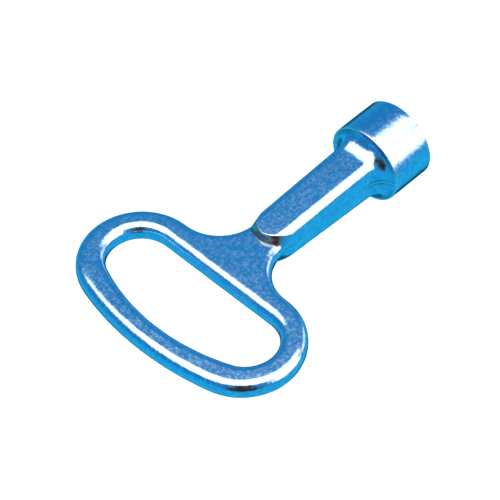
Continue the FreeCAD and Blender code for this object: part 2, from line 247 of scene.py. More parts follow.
def loop_quarter(sizes, seam_x):
    """The +Y, +Z quarter of the loop and web as one grid of points, columns by rows.

    Every column runs from the hole's rim over its rounding, straight across the flat top and, where
    the column ends on the outer rim, over the outer rounding down to the parting plane. The columns
    of the window end on the seam instead, and their outer rows are left at the seam's edge.
    """
    half = sizes.loop_thickness / 2
    depth, height = edge_rows(sizes.loop_edge, half)
    hole, into = inner_columns(sizes)
    inner = hole[:, None] + into[:, None] * depth[None, :, None]
    rim, inward, web_c = outer_columns(sizes, seam_x)
    outer = rim[:, None] + inward[:, None] * depth[None, :, None]
    # Near the seam the way in is slanted, so it goes as far as puts it at the right depth.
    web, radius = slice(0, WEB_CELLS + 1), sizes.web_radius
    slant = ((rim[web] - web_c) * inward[web]).sum(axis=1)[:, None]
    reach = np.sqrt(slant ** 2 + (radius + depth) ** 2 - radius ** 2) - slant
    outer[web] = rim[web, None] + inward[web, None] * reach[..., None]
    corner = outer[0, -1]
    seam = np.stack([np.full(WINDOW_CELLS, corner[0]),
                     np.linspace(0.0, corner[1], WINDOW_CELLS + 1)[:-1]], axis=1)
    target = np.concatenate([seam, outer[:, -1]])
    share = np.linspace(0.0, 1.0, TOP_CELLS + 1)[1:-1]
    top = inner[:, -1, None] + (target - inner[:, -1])[:, None] * share[None, :, None]
    columns, rows, edge = len(hole), 2 * len(depth) + len(share), len(depth)
    grid = np.zeros((columns, rows, 3))
    grid[:, :edge, :2] = inner
    grid[:, :edge, 2] = height
    grid[:, edge:-edge, :2] = top
    grid[:, edge:-edge, 2] = half
    grid[WINDOW_CELLS:, -edge:, :2] = outer[:, ::-1]
    grid[WINDOW_CELLS:, -edge:, 2] = height[::-1]
    grid[:WINDOW_CELLS, -edge:, :2] = seam[:, None]
    grid[:WINDOW_CELLS, -edge:, 2] = half
    return grid


# ---------------------------------------------------------------- shank, neck and head

# Points in a ring about the axis, and their directions wherever they are evenly spread.
RING = 4 * (WINDOW_CELLS + EDGE_CELLS)
RAYS = np.linspace(0.0, 2 * math.pi, RING, endpoint=False)

# From the hole's straight side to the seam where the loop's grid ends and the rings begin.
SEAM_FROM_HOLE = 0.0087

# The step: how much its run grows for each unit to the side, how much blunter its nose is than
# half a circle, and the length over which the nose's ellipse eases into the shank.
STEP_WIDENING, NOSE_BLUNTNESS, NOSE_EASE = 0.2, 0.87, 0.0015

# The rings are close from a little before the step's apex to a little past its nose's centre, and
# each of the four stretches from the seam to the neck has this many, both ends counted.
CLOSE_BEFORE_APEX, CLOSE_AFTER_APEX, CLOSE_AFTER_NOSE = 0.0004, 0.0012, 0.0018
SHANK_RINGS = (8, 40, 46, 24)

# From here on, past the nose's centre, the section is the plain bar's.
PLAIN_AFTER_NOSE = 0.0016

# Rings of the flare, round the head's back, along it, round its mouth, in to the pocket and down
# it, and the shares of the pocket's size at which its floor has rings.
FLARE_RINGS, BACK_RINGS, HEAD_RINGS, MOUTH_RINGS, FACE_RINGS, POCKET_RINGS = 24, 7, 8, 6, 5, 7
POCKET_FLOOR_SHARES = (0.7, 0.4, 0.1)

# A ray from the axis is cut off beyond the shank, and halved this often to find the surface.
RAY_LIMIT, HALVINGS = 0.009, 40


def rounded_box(across, up, half_across, half_up, corner):
    """Signed distance to a rectangle with rounded corners, negative inside."""
    a = np.abs(across) - (half_across - corner)
    b = np.abs(up) - (half_up - corner)
    outside = np.hypot(np.maximum(a, 0.0), np.maximum(b, 0.0))
    return outside + np.minimum(np.maximum(a, b), 0.0) - corner


def over_edge(inset, edge, top):
    """Height of a surface that turns over a round edge: a quarter circle up to the flat top."""
    across = np.clip(edge - inset, 0.0, edge)
    return top - edge + np.sqrt(edge ** 2 - across ** 2)


def plain_bar(sizes, x, y, z):
    """Signed distance to the shank's section at x, a rectangle with rounded corners."""
    return rounded_box(y, z, half_width(sizes, x), half_height(sizes, x), sizes.shank_edge)


def step_share(sizes, x, y):
    """How far the step has risen at a point of the plan, from 0 on the web to 1 on the shank.

    It climbs as an S-curve of how far the point is inside the nose's ellipse, over a run that
    widens to the sides. A square law past the ellipse's middle makes sure that it reaches one.
    """
    nose_x = sizes.step_radius - sizes.step_start
    past = np.maximum(x - nose_x + NOSE_EASE, 0.0) ** 2 / (4 * NOSE_EASE)
    within = sizes.step_radius - np.hypot(np.minimum(x - nose_x, 0.0), NOSE_BLUNTNESS * y) + past
    climb = within / (sizes.step_run + STEP_WIDENING * np.abs(y))
    return eased(np.clip(climb, 0.0, 1.0))


def web_and_step(sizes, x, y, z):
    """Negative inside the web and the raised, round-nosed end of the shank.

    The plan ends at the web's arc or the shank's side line. The height is the web's, turned over
    its edge, plus the step's share of what the shank's section stands above it.
    """
    web_c = loop_centres(sizes)[2]
    radius, side = sizes.web_radius, np.abs(y)
    arc_inset = np.hypot(x - web_c[0], side - web_c[1]) - radius
    line_inset = (half_width(sizes, x) - side) * math.cos(sizes.side_taper)
    inset = np.where(x < web_c[0] + radius * math.sin(sizes.side_taper), arc_inset, line_inset)
    web = over_edge(inset, sizes.loop_edge, sizes.loop_thickness / 2)
    bar_inset = np.maximum(half_width(sizes, x) - side, 0.0)
    bar = over_edge(bar_inset, sizes.shank_edge, half_height(sizes, x))
    risen = step_share(sizes, x, y) * np.maximum(bar - web, 0.0)
    return np.maximum(-inset, np.abs(z) - web - risen)


def ray_to_surface(distance, x, angle, limit):
    """Radius at which a ray from the axis leaves the solid, by halving an interval."""
    low, high = np.zeros_like(angle), np.full_like(angle, limit)
    for _ in range(HALVINGS):
        middle = (low + high) / 2
        inside = distance(x, middle * np.cos(angle), middle * np.sin(angle)) < 0
        low, high = np.where(inside, middle, low), np.where(inside, high, middle)
    return (low + high) / 2


def rounded_section(angle, half_across, half_up, corner):
    """Radius of a rounded rectangle in each direction, by the same halving."""
    return ray_to_surface(lambda x, y, z: rounded_box(y, z, half_across, half_up, corner),
                          0.0, angle, 2 * np.max(half_across + half_up))


def polygon_radius(sides, half_flats, first_flat):
    """Radius of a regular polygon in each of the rays' directions.

    It is half the distance across flats over the cosine of the angle from the nearest flat's
    middle; first_flat is the direction of one of them.
    """
    step = 2 * math.pi / sides
    return half_flats / np.cos(np.mod(RAYS - first_flat + step / 2, step) - step / 2)


def ring_points(x, radius, angle):
    """Points about the X axis: x, radius times cosine and radius times sine."""
    x, radius, angle = np.broadcast_arrays(x, radius, angle)
    return np.stack([x, radius * np.cos(angle), radius * np.sin(angle)], axis=-1)


def shank_rings(sizes, seam_ring):
    """Rings of points from the seam to the neck, each ray from the axis ending on the surface.

    The rays go from the directions of the seam's own points to even ones, along an S-curve.
    """
    seam_x = seam_ring[0, 0]
    apex, nose_x = -sizes.step_start, sizes.step_radius - sizes.step_start
    stops = (seam_x, apex - CLOSE_BEFORE_APEX, apex + CLOSE_AFTER_APEX, nose_x + CLOSE_AFTER_NOSE,
             neck_start(sizes))
    stretches = [np.linspace(start, stop, count)[:-1]
                 for start, stop, count in zip(stops, stops[1:], SHANK_RINGS)]
    x = np.concatenate([*stretches, stops[-1:]])[1:, None]
    first = np.unwrap(np.arctan2(seam_ring[:, 2], seam_ring[:, 1]))
    share = eased(np.clip((x - seam_x) / (nose_x - seam_x), 0.0, 1.0))
    angle = first * (1 - share) + RAYS * share
    x = np.broadcast_to(x, angle.shape)
    radius = ray_to_surface(lambda a, y, z: web_and_step(sizes, a, y, z), x, angle, RAY_LIMIT)
    bar = ray_to_surface(lambda a, y, z: plain_bar(sizes, a, y, z), x, angle, RAY_LIMIT)
    radius = np.where(x > nose_x + PLAIN_AFTER_NOSE, bar, radius)
    return ring_points(x, radius, angle)


def flare_rings(sizes):
    """The neck, a quarter ellipse: x goes with the sine of a quarter turn and the section's growth
    with one minus its cosine.
    """
    turn = np.linspace(0.0, math.pi / 2, FLARE_RINGS + 1)[1:, None]
    grow = 1 - np.cos(turn)
    across, up = (start / 2 + (sizes.flare_size - start) / 2 * grow
                  for start in (sizes.shank_width, sizes.shank_height))
    corner = sizes.shank_edge + (sizes.flare_corner - sizes.shank_edge) * grow
    section = rounded_section(np.broadcast_to(RAYS, (FLARE_RINGS, RING)), across, up, corner)
    return ring_points(neck_start(sizes) + sizes.neck_length * np.sin(turn), section, RAYS)


def head_rings(sizes):
    """The head: a cylinder with a quarter circle at its back and another at its mouth."""
    head, back, mouth = sizes.head_diameter / 2, sizes.back_edge, sizes.mouth_edge
    back_turn = np.linspace(0.0, math.pi / 2, BACK_RINGS)
    mouth_turn = np.linspace(0.0, math.pi / 2, MOUTH_RINGS)
    x = np.concatenate([-sizes.head_length + back * (1 - np.cos(back_turn)),
                        np.linspace(-sizes.head_length + back, -mouth, HEAD_RINGS + 2)[1:-1],
                        -mouth + mouth * np.sin(mouth_turn)])
    radius = np.concatenate([head - back + back * np.sin(back_turn), np.full(HEAD_RINGS, head),
                             head - mouth + mouth * np.cos(mouth_turn)])
    return ring_points(x[:, None], radius[:, None], RAYS)


def pocket_rings(sizes):
    """The mouth's flat face in to the pocket's hexagon, down its walls and in over its floor."""
    hexagon = polygon_radius(6, sizes.pocket_flats / 2, math.pi / 6)
    inwards = np.linspace(0.0, 1.0, FACE_RINGS + 1)[1:, None]
    rim = sizes.head_diameter / 2 - sizes.mouth_edge
    face = ring_points(0.0, rim * (1 - inwards) + hexagon * inwards, RAYS)
    down = np.linspace(0.0, -sizes.pocket_depth, POCKET_RINGS + 1)[1:, None]
    shrink = np.array(POCKET_FLOOR_SHARES)[:, None]
    floor = ring_points(-sizes.pocket_depth, hexagon * shrink, RAYS)
    return np.concatenate([face, ring_points(down, hexagon, RAYS), floor])


# ---------------------------------------------------------------- one closed mesh

# Half width of the parting ridge's bell curve.
RIDGE_HALF_WIDTH = 0.00025

# The casting's slow waves: the way that each runs, and how many radians it turns in a metre.
WAVE_WAYS = np.array([[0.9, 0.3, 0.2], [-0.4, 0.8, 0.5], [0.2, -0.6, 0.9],
                      [0.7, 0.7, -0.4], [-0.8, 0.5, -0.6]])
WAVE_RATES = np.array([900.0, 1150.0, 1500.0, 2100.0, 2700.0])

# Painted shade and dark reflection in the corner of the step: the distance from the side over which
# it fades, the factor that makes it full about half way up the wall, and the factor on how far the
# wall leans back from upright.
STEP_SHADE_FADE, STEP_SHADE_STRENGTH, STEP_SHADE_LEAN = 0.0012, 6, 3

# Least length of a normal and square of a side, so that nothing is divided by zero.
LEAST_NORMAL, LEAST_SIDE_SQUARED = 1e-12, 1e-14
MILLIMETRES_PER_METRE = 1000


def mirror_columns(quarter):
    """The columns of the +Y half followed by the -Y ones: one grid right round the loop."""
    other = quarter[1:-1][::-1] * np.array([1.0, -1.0, 1.0])
    return np.concatenate([quarter, other])


def quads_of(numbers, closed_columns):
    """Four corner numbers for each cell of a grid of point numbers."""
    following = np.roll(numbers, -1, axis=0) if closed_columns else numbers[1:]
    present = numbers if closed_columns else numbers[:-1]
    return np.stack([present[:, :-1], following[:, :-1], following[:, 1:], present[:, 1:]],
                    axis=-1).reshape(-1, 4)


def tube_quads(rings):
    """Quads between each ring of point numbers and the next, facing away from the axis."""
    around = np.concatenate([rings, rings[:, :1]], axis=1)
    return quads_of(around, False)[:, ::-1]


def loop_numbers(columns, rows):
    """Point numbers of the loop's upper and lower grids, which share both rims at z = 0."""
    top = np.arange(columns * rows).reshape(columns, rows)
    bottom = top + columns * rows
    bottom[:, 0], bottom[:, -1] = top[:, 0], top[:, -1]
    return top, bottom


def loop_faces(top, bottom, last_top):
    """Quads of the loop: hole and flat all round, then the outer edge, which leaves out the seam."""
    outside = slice(WINDOW_CELLS, len(top) - WINDOW_CELLS + 1)
    return [quads_of(top[:, :last_top + 1], True)[:, ::-1],
            quads_of(top[outside, last_top:], False)[:, ::-1],
            quads_of(bottom[:, :last_top + 1], True),
            quads_of(bottom[outside, last_top:], False)]


def seam_numbers(top, bottom, last_top):
    """Point numbers round the seam: up the +Y edge, across the top, down and back underneath."""
    right, left = WINDOW_CELLS, len(top) - WINDOW_CELLS
    across = np.concatenate([np.arange(right, -1, -1), np.arange(len(top) - 1, left - 1, -1)])
    return np.concatenate([
        top[right, :last_top:-1],
        top[across, last_top],
        top[left, last_top + 1:],
        bottom[left, -2:last_top:-1],
        bottom[across[::-1], last_top],
        bottom[right, last_top + 1:-1],
    ])


def closing_quads(ring):
    """Quads across a ring of point numbers, each between two points and the two opposite them."""
    lower = np.arange(RING // 2 - 1)
    upper = RING - 1 - lower
    return np.stack([ring[lower], ring[lower + 1], ring[upper - 1], ring[upper]], axis=1)


def casting_points_and_faces(sizes, seam_x):
    """The whole casting as points and quads: the loop's two grids, the rings and a closed pocket."""
    loop = mirror_columns(loop_quarter(sizes, seam_x))
    columns, rows = loop.shape[:2]
    top, bottom = loop_numbers(columns, rows)
    last_top = rows - EDGE_CELLS - 1
    under = loop * np.array([1.0, 1.0, -1.0])
    points = np.concatenate([loop.reshape(-1, 3), under.reshape(-1, 3)])
    seam = seam_numbers(top, bottom, last_top)
    rings = np.concatenate([shank_rings(sizes, points[seam]), flare_rings(sizes),
                            head_rings(sizes), pocket_rings(sizes)])
    numbers = np.arange(len(rings) * RING).reshape(-1, RING) + len(points)
    faces = [*loop_faces(top, bottom, last_top), tube_quads(np.concatenate([seam[None], numbers])),
             closing_quads(numbers[-1])]
    return only_used(np.concatenate([points, rings.reshape(-1, 3)]), np.concatenate(faces))


def only_used(points, faces):
    """The points that some face uses, with the faces numbered to match."""
    used, numbers = np.unique(faces, return_inverse=True)
    return points[used], numbers.reshape(faces.shape)


def point_normals(points, faces):
    """Unit normal at each point: the cross products of its quads' diagonals, added up."""
    a, b, c, d = (points[faces[:, corner]] for corner in range(4))
    face_normal = np.cross(c - a, d - b)
    normal = np.stack([np.bincount(faces.ravel(), np.repeat(face_normal[:, axis], 4), len(points))
                       for axis in range(3)], axis=1)
    return normal / np.maximum(np.linalg.norm(normal, axis=1, keepdims=True), LEAST_NORMAL)


def convexity(points, faces):
    """How sharply the surface bends outwards at each point, in radians per millimetre.

    Along each side of a quad it is the change of normal along the side over the side's length,
    and a point takes the mean of the sides that meet there.
    """
    normal = point_normals(points, faces)
    start, end = faces.ravel(), np.roll(faces, -1, axis=1).ravel()
    side = points[end] - points[start]
    bend = ((normal[end] - normal[start]) * side).sum(axis=1)
    bend /= np.maximum((side * side).sum(axis=1), LEAST_SIDE_SQUARED)
    total = np.bincount(start, bend, len(points)) + np.bincount(end, bend, len(points))
    count = np.bincount(start, minlength=len(points)) + np.bincount(end, minlength=len(points))
    return total / count / MILLIMETRES_PER_METRE


def cast_surface(sizes, points, faces):
    """Sinks every point by the casting's slow waves and by the parting ridge, except along z = 0.

    The waves are the mean of five sines, brought between 0 and 1. The ridge's profile is a bell
    curve of the height above the parting plane.
    """
    phase = points @ WAVE_WAYS.T * WAVE_RATES + np.arange(float(len(WAVE_RATES)))
    wave = 0.5 + 0.5 * np.sin(phase).mean(axis=1)
    bell = np.exp(-(points[:, 2] / RIDGE_HALF_WIDTH) ** 2)
    sunk = sizes.parting_ridge * (1 - bell) + sizes.unevenness * wave * (1 - bell)
    return points - point_normals(points, faces) * sunk[:, None]


def painted_step_shade(sizes, points, faces):
    """How deep a point sits in the corner of the step, from 0 to 1, which places painted shade and a
    dark reflection there.

    It goes with share * (1 - share) of the step's rise, so it is full half way up the wall and
    none on the flats, and it fades out toward the sides and where the wall turns upright.
    """
    x, y = points[:, 0], points[:, 1]
    share = step_share(sizes, x, y)
    in_corner = np.clip(STEP_SHADE_STRENGTH * share * (1 - share), 0.0, 1.0)
    leaning = np.clip(STEP_SHADE_LEAN * np.abs(point_normals(points, faces)[:, 2]), 0.0, 1.0)
    from_side = np.clip((half_width(sizes, x) - np.abs(y)) / STEP_SHADE_FADE, 0.0, 1.0)
    return in_corner * leaning * from_side


# ---------------------------------------------------------------- steel insert

# Play round the bar in its pocket, chamfer of the bar's ends, and rings of each of its four sides.
INSERT_GAP, INSERT_BEVEL, INSERT_RINGS = 0.00002, 0.00015, 13


def insert_points_and_faces(sizes):
    """A hexagon bar with a square hole right through, both ends chamfered, as rings joined up.

    Each ring is a polygon's radius in every direction at one x. The rings run forward along the
    hexagon, in across the front, back along the square hole and out across the back.
    """
    back_x, front_x = -sizes.pocket_depth, INSERT_HIGH.x
    lead, bevel = sizes.socket_lead, INSERT_BEVEL
    outer = polygon_radius(6, sizes.pocket_flats / 2 - INSERT_GAP, math.pi / 6)
    hole = polygon_radius(4, sizes.socket_width / 2, 0.0)
    out_edge, in_edge = outer - bevel, hole + lead
    along = np.linspace(0.0, 1.0, INSERT_RINGS)[:, None]
    rings = np.concatenate([
        ring_points(back_x + bevel + (front_x - back_x - 2 * bevel) * along, outer, RAYS),
        ring_points(front_x, out_edge + (in_edge - out_edge) * along, RAYS),
        ring_points(front_x - lead + (back_x - front_x + lead) * along, hole, RAYS),
        ring_points(back_x, hole + (out_edge - hole) * along, RAYS)[1:],
    ])
    numbers = np.arange(len(rings) * RING).reshape(-1, RING)
    return rings.reshape(-1, 3), tube_quads(np.concatenate([numbers, numbers[:1]]))


# ---------------------------------------------------------------- objects and nodes

# Faces that meet at more than this are shaded with a sharp edge.
SHARP_ANGLE = math.radians(50)


def mesh_object(name, points, faces, material, masks):
    """A smooth-shaded object at the origin with one number per point for each named mask."""
    mesh = bpy.data.meshes.new(name)
    mesh.from_pydata(points.tolist(), [], faces.tolist())
    mesh.validate()
    mesh.polygons.foreach_set("use_smooth", np.ones(len(mesh.polygons), bool))
    mesh.set_sharp_from_angle(angle=SHARP_ANGLE)
    for mask, values in masks.items():
        attribute = mesh.attributes.new(mask, "FLOAT", "POINT")
        attribute.data.foreach_set("value", values.astype(np.float32))
    mesh.materials.append(material)
    mesh.update()
    piece = bpy.data.objects.new(name, mesh)
    bpy.context.scene.collection.objects.link(piece)
    return piece


def add_node(tree, kind, settings=(), **inputs):
    """Adds a node, sets its own properties, then fills or links its inputs.

    An input is named, with an underscore for each space, or given as i and its number. A socket
    given as the value is linked.
    """
    node = tree.nodes.new(kind)
    for name, value in dict(settings).items():
        setattr(node, name, value)
    for name, value in inputs.items():
        socket = node.inputs[int(name[1:]) if name[1:].isdigit() else name.replace("_", " ")]
        if isinstance(value, bpy.types.NodeSocket):
            tree.links.new(value, socket)
        else:
            socket.default_value = value
    return node


def calculate(tree, operation, first, second=0.0, third=0.0):
    """One sum on up to three values or sockets."""
    return add_node(tree, "ShaderNodeMath", {"operation": operation},
                    i0=first, i1=second, i2=third).outputs[0]


def raised(tree, base, mask, most):
    """The base value plus the mask times the most that it adds."""
    return calculate(tree, "MULTIPLY_ADD", mask, most, base)


def between(tree, value, low, high):
    """The value brought from low..high to 0..1 with soft ends."""
    return add_node(tree, "ShaderNodeMapRange", {"interpolation_type": "SMOOTHSTEP"}, Value=value,
                    From_Min=low, From_Max=high).outputs["Result"]


def mix_colours(tree, factor, first, second):
    """The first colour where the factor is 0 and the second where it is 1."""
    node = add_node(tree, "ShaderNodeMix", {"data_type": "RGBA"}, i0=factor, i6=first, i7=second)
    return node.outputs[2]


def laid_over(tree, under, over, mask, most):
    """A colour laid over another where the mask is, at most by the given share."""
    return mix_colours(tree, calculate(tree, "MULTIPLY", mask, most), under, (*over, 1.0))


def object_place(tree):
    """The point of the piece itself, in metres."""
    return add_node(tree, "ShaderNodeTexCoord").outputs["Object"]


def point_mask(tree, name):
    """A mask that the mesh holds as one number per point."""
    return add_node(tree, "ShaderNodeAttribute", {"attribute_name": name}).outputs["Fac"]


# ---------------------------------------------------------------- effects shared by the finishes

# A noise turns to flecks at the slope times one minus the share wanted, plus the start, and over
# the softness. Another turns to mottling between its own low and high.
FLECK_SLOPE, FLECK_START, FLECK_SOFTNESS = 0.5, 0.14, 0.22
MOTTLE_LOW, MOTTLE_HIGH = 0.35, 0.68

# How strongly an edge wears where the break-up mask is 0 and how much more where it is 1, and the
# inward bends, in radians per millimetre, at which the painted shade in hollows begins and is full.
WEAR_LEAST, WEAR_MORE = 0.6, 0.5
PAINTED_SHADE_START, PAINTED_SHADE_FULL = 0.06, 0.4


def new_group(name, inputs, outputs):
    """An empty shader node group with named float, vector or colour sockets."""
    group = bpy.data.node_groups.new(name, "ShaderNodeTree")
    for socket, (kind, default) in inputs.items():
        made = group.interface.new_socket(socket, in_out="INPUT", socket_type="NodeSocket" + kind)
        made.default_value = default
    for socket, kind in outputs.items():
        group.interface.new_socket(socket, in_out="OUTPUT", socket_type="NodeSocket" + kind)
    given, result = group.nodes.new("NodeGroupInput"), group.nodes.new("NodeGroupOutput")
    return group, given.outputs, result.inputs


def grain_group():
    """Surface grain: fine tooth, flecks and slow mottling, each a noise of its own size."""
    if "Surface grain" in bpy.data.node_groups:
        return bpy.data.node_groups["Surface grain"]
    group, given, result = new_group(
        "Surface grain",
        {"Vector": ("Vector", (0.0, 0.0, 0.0)), "Tooth Scale": ("Float", 5000.0),
         "Fleck Scale": ("Float", 1300.0), "Mottle Scale": ("Float", 250.0),
         "Fleck Share": ("Float", 0.4)},
        {"Tooth": "Float", "Flecks": "Float", "Mottle": "Float"})
    place = given["Vector"]
    tooth = add_node(group, "ShaderNodeTexNoise", Vector=place, Scale=given["Tooth Scale"],
                     Detail=2.0, Roughness=0.6)
    fleck = add_node(group, "ShaderNodeTexNoise", Vector=place, Scale=given["Fleck Scale"],
                     Detail=2.0, Roughness=0.6)
    mottle = add_node(group, "ShaderNodeTexNoise", Vector=place, Scale=given["Mottle Scale"],
                      Detail=4.0, Roughness=0.6, Distortion=0.8)
    threshold = calculate(group, "SUBTRACT", 1.0, given["Fleck Share"])
    low = calculate(group, "MULTIPLY_ADD", threshold, FLECK_SLOPE, FLECK_START)
    high = calculate(group, "ADD", low, FLECK_SOFTNESS)
    mottling = between(group, mottle.outputs["Fac"], MOTTLE_LOW, MOTTLE_HIGH)
    group.links.new(tooth.outputs["Fac"], result["Tooth"])
    group.links.new(between(group, fleck.outputs["Fac"], low, high), result["Flecks"])
    group.links.new(mottling, result["Mottle"])
    return group


def edge_wear_and_shade_group():
    """Worn edges and painted shade darkening the hollows, from the convexity mask, the edges broken
    up by another.
    """
    if "Edge wear and painted shade" in bpy.data.node_groups:
        return bpy.data.node_groups["Edge wear and painted shade"]
    group, given, result = new_group(
        "Edge wear and painted shade",
        {"Convexity": ("Float", 0.0), "Break Up": ("Float", 0.5), "Start": ("Float", 0.3),
         "Full": ("Float", 1.0)},
        {"Worn": "Float", "Painted Hollow Shade": "Float"})
    broken = raised(group, WEAR_LEAST, given["Break Up"], most=WEAR_MORE)
    bent = calculate(group, "MULTIPLY", given["Convexity"], broken)
    # Painted shade: the inward bend darkens the hollows.
    sunk = calculate(group, "MULTIPLY", given["Convexity"], -1.0)
    group.links.new(between(group, bent, given["Start"], given["Full"]), result["Worn"])
    group.links.new(between(group, sunk, PAINTED_SHADE_START, PAINTED_SHADE_FULL), result["Painted Hollow Shade"])
    return group


def place_group(tree, group, **inputs):
    """The outputs of a node group placed in a material with its own values."""
    return add_node(tree, "ShaderNodeGroup", {"node_tree": group}, **inputs).outputs


# ---------------------------------------------------------------- finishes

# Plating: its mottling, its worn edges, and the painted shade in its hollows and in the corner of
# the step.
MOTTLE_BLUE, WORN_PLATING = (0.12, 0.36, 0.72), (0.55, 0.66, 0.74)
HOLLOW_PAINTED_SHADE, STEP_PAINTED_SHADE = (0.02, 0.03, 0.05), (0.42, 0.22, 0.16)

# Steel: its streaks and its bright corners, and the scale of the streaks along and across the bar.
STREAK_GREY, BRIGHT_STEEL = (0.30, 0.30, 0.32), (0.78, 0.78, 0.79)
STREAK_SCALE = (0.06, 1.0, 1.0)

FLOOR_MOTTLE = (0.85, 0.85, 0.86)


def new_material(name):
    """A material holding only a Principled shader and its output, with its tree and shader."""
    material = bpy.data.materials.new(name)
    material.use_nodes = True
    tree = material.node_tree
    return material, tree, tree.nodes["Principled BSDF"]


def plating_material(finish):
    """Blue bright plating over a cast surface: flecked, toothed, paler on edges, with painted shade
    in hollows and in the corner of the step.
    """
    material, tree, shader = new_material("blue_bright_plating")
    grain = place_group(tree, grain_group(), Vector=object_place(tree), Tooth_Scale=4200.0,
                        Fleck_Scale=1600.0, Mottle_Scale=420.0, Fleck_Share=0.45)
    edge = place_group(tree, edge_wear_and_shade_group(), Convexity=point_mask(tree, "convexity"),
                       Break_Up=grain["Flecks"], Start=0.25, Full=1.1)
    shade = laid_over(tree, (*finish.plating, 1.0), finish.plating_light, grain["Flecks"], most=0.42)
    shade = laid_over(tree, shade, MOTTLE_BLUE, grain["Mottle"], most=0.3)
    shade = laid_over(tree, shade, WORN_PLATING, edge["Worn"], most=0.55)
    # Painted shade darkens the hollows.
    shade = laid_over(tree, shade, HOLLOW_PAINTED_SHADE, edge["Painted Hollow Shade"], most=0.85)
    # Painted shade and dark reflection in the corner of the step.
    shade = laid_over(tree, shade, STEP_PAINTED_SHADE, point_mask(tree, "painted_step_shade"), most=0.9)
    tree.links.new(shade, shader.inputs["Base Color"])
    shader.inputs["Metallic"].default_value = 1.0
    rough = raised(tree, 0.15, grain["Mottle"], most=0.04)
    rough = raised(tree, rough, grain["Flecks"], most=0.05)
    tree.links.new(rough, shader.inputs["Roughness"])
    shader.inputs["Coat Weight"].default_value = 0.6
    shader.inputs["Coat Roughness"].default_value = 0.20
    shader.inputs["Coat IOR"].default_value = 1.8
    height = raised(tree, grain["Tooth"], grain["Flecks"], most=0.8)
    bump = add_node(tree, "ShaderNodeBump", Height=height, Strength=0.16, Distance=0.00003)
    tree.links.new(bump.outputs["Normal"], shader.inputs["Normal"])
    return material


def steel_material(finish):
    """Bare drawn steel: streaks along the bar, fine tooth and brighter corners."""
    material, tree, shader = new_material("drawn_steel")
    drawn = add_node(tree, "ShaderNodeMapping", Vector=object_place(tree), Scale=STREAK_SCALE)
    grain = place_group(tree, grain_group(), Vector=drawn.outputs["Vector"], Tooth_Scale=6500.0,
                        Fleck_Scale=2600.0, Mottle_Scale=420.0, Fleck_Share=0.35)
    edge = place_group(tree, edge_wear_and_shade_group(), Convexity=point_mask(tree, "convexity"),
                       Break_Up=grain["Mottle"], Start=0.4, Full=2.0)
    shade = laid_over(tree, (*finish.steel, 1.0), STREAK_GREY, grain["Flecks"], most=0.5)
    shade = laid_over(tree, shade, BRIGHT_STEEL, edge["Worn"], most=0.5)
    tree.links.new(shade, shader.inputs["Base Color"])
    shader.inputs["Metallic"].default_value = 1.0
    rough = raised(tree, 0.34, grain["Mottle"], most=0.18)
    tree.links.new(rough, shader.inputs["Roughness"])
    bump = add_node(tree, "ShaderNodeBump", Height=grain["Tooth"], Strength=0.3, Distance=0.00002)
    tree.links.new(bump.outputs["Normal"], shader.inputs["Normal"])
    return material


def floor_material(finish):
    """Matt pale sheet with a barely visible grain."""
    material, tree, shader = new_material("pale_floor")
    grain = place_group(tree, grain_group(), Vector=object_place(tree), Tooth_Scale=900.0,
                        Fleck_Scale=300.0, Mottle_Scale=12.0, Fleck_Share=0.3)
    pale = laid_over(tree, (*finish.floor, 1.0), FLOOR_MOTTLE, grain["Mottle"], most=0.02)
    tree.links.new(pale, shader.inputs["Base Color"])
    shader.inputs["Roughness"].default_value = 0.9
    shader.inputs["Specular IOR Level"].default_value = 0.2
    return material


# ---------------------------------------------------------------- the two pieces

class BLEEDKEY_OT_casting(Operator):
    """Build the plated casting: loop, web, stepped shank, neck and head as one closed surface"""

    bl_idname = "bleedkey.casting"
    bl_label = "Casting"

    def execute(self, context):
        sizes = context.scene.bleed_key_sizes
        points, faces = casting_points_and_faces(sizes, -sizes.hole_start + SEAM_FROM_HOLE)
        points = cast_surface(sizes, points, faces)
        # The second mask places painted shade in the corner of the step.
        masks = {"convexity": convexity(points, faces), "painted_step_shade": painted_step_shade(sizes, points, faces)}
        finish = context.scene.bleed_key_finish
        piece = mesh_object("casting", points, faces, plating_material(finish), masks)
        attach(piece, "root")
        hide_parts("key_casting")
        return {"FINISHED"}


class BLEEDKEY_OT_insert(Operator):
    """Build the steel insert: a hexagon bar with a square hole, set in the head"""

    bl_idname = "bleedkey.insert"
    bl_label = "Square socket insert"

    def execute(self, context):
        sizes = context.scene.bleed_key_sizes
        points, faces = insert_points_and_faces(sizes)
        masks = {"convexity": convexity(points, faces)}
        finish = context.scene.bleed_key_finish
        piece = mesh_object("square_insert", points, faces, steel_material(finish), masks)
        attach(piece, "root")
        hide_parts("socket_insert")
        return {"FINISHED"}


# ---------------------------------------------------------------- floor, light and camera

# The floor lies just under the key. The wash is the strength of its own even light.
FLOOR_Z = CASTING_LOW.z - 0.0002
FLOOR_SIZE, FLOOR_WASH = 12.0, 3.5

# Name, place, point it faces, width, depth and radiance of each soft light.
LAMPS = (
    ("overhead softbox", (-0.04, -0.04, 0.60), (0.0, 0.0, 0.0), 1.40, 0.74, 4.6),
    ("side softbox", (0.38, -0.78, 0.39), (0.0, 0.0, 0.02), 0.90, 0.56, 4.6),
    ("side fade", (0.38, -0.80, 0.07), (0.0, 0.0, 0.02), 0.90, 0.10, 1.6),
    ("right softbox", (0.86, -0.22, 0.30), (0.0, 0.0, 0.02), 0.50, 0.40, 2.0),
)
LAMP_COLOUR = (1.0, 0.60, 0.41)

# Light on the key from all round, and the heights of a direction between which it goes from the
# colour below to the colour above.
FILL_BELOW, FILL_ABOVE = (0.04, 0.60, 0.88, 1.0), (0.03, 0.33, 0.60, 1.0)
FILL_LOW, FILL_HIGH = -0.5, 0.3
BACKDROP = (1.0, 1.0, 1.0, 1.0)

